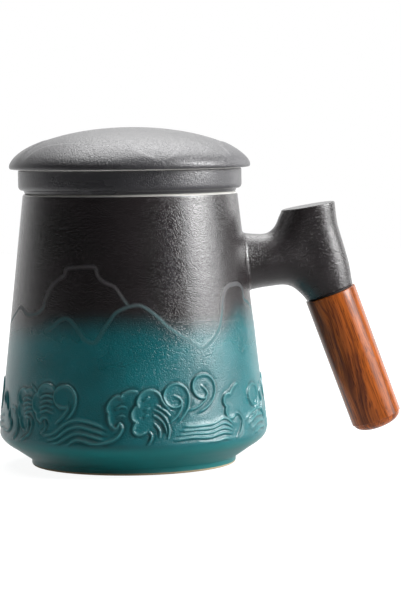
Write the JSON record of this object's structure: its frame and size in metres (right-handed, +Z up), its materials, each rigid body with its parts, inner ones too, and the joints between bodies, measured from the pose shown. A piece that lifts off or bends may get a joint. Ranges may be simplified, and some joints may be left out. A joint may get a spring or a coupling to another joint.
{
  "type": "lidded tea mug with infuser",
  "caption": "Tapered stoneware tea mug with relief ornament, a drop-in strainer basket, a domed lift-off lid and a hammer-shaped side handle with a screwed-on wooden grip.",
  "frame": {"origin": "centre of the foot ring, on the surface that the mug stands on", "axes": "+Z up along the mug's axis; +X from the mug's axis towards the handle; +Y completes the right-handed frame"},
  "size_m": [0.1532, 0.1006, 0.1266],
  "materials": {
    "gradient_glaze": "satin glaze, black above running into teal below, fine leathery skin, white inside, bare clay on the foot ring",
    "black_glaze": "satin black glaze with a fine leathery skin",
    "infuser_glaze": "satin black glaze on the collar, gloss white glaze in the basket",
    "lid_glaze": "satin black glaze with a fine leathery skin and a low relief of ridges",
    "varnished_wood": "gloss varnish over red-brown hardwood with dark streaks along the grain",
    "washer_rubber": "matt black silicone",
    "stainless": "turned",
    "insert_brass": "turned",
    "cement": "matt"
  },
  "bodies": {
    "mug": {"mug_body": "gradient_glaze", "handle_arm": "black_glaze", "stud_cement": "cement", "grip_stud": "stainless"},
    "washer": {"grip_washer": "washer_rubber"},
    "grip": {"wooden_grip": "varnished_wood", "thread_insert": "insert_brass"},
    "infuser": {"infuser": "infuser_glaze"},
    "lid": {"lid": "lid_glaze"}
  },
  "joints": [
    {"name": "infuser_lift", "type": "slide", "parent": "mug", "child": "infuser", "axis": [0, 0, 1], "range_m": [0, 0.09]},
    {"name": "lid_lift", "type": "slide", "parent": "infuser", "child": "lid", "axis": [0, 0, 1], "range_m": [0, 0.05]},
    {"name": "grip_turn", "type": "hinge", "parent": "mug", "child": "washer", "pos_m": [0.0761, 0, 0.063], "axis": [0.342, 0, -0.9397], "range_deg": [0, 4320]},
    {"name": "grip_backoff", "type": "slide", "parent": "washer", "child": "grip", "axis": [0.342, 0, -0.9397], "range_m": [0, 0.012]}
  ],
  "couplings": [
    {"joint": "grip_backoff", "follows": "grip_turn", "m_per_rad": 0.00015915}
  ]
}
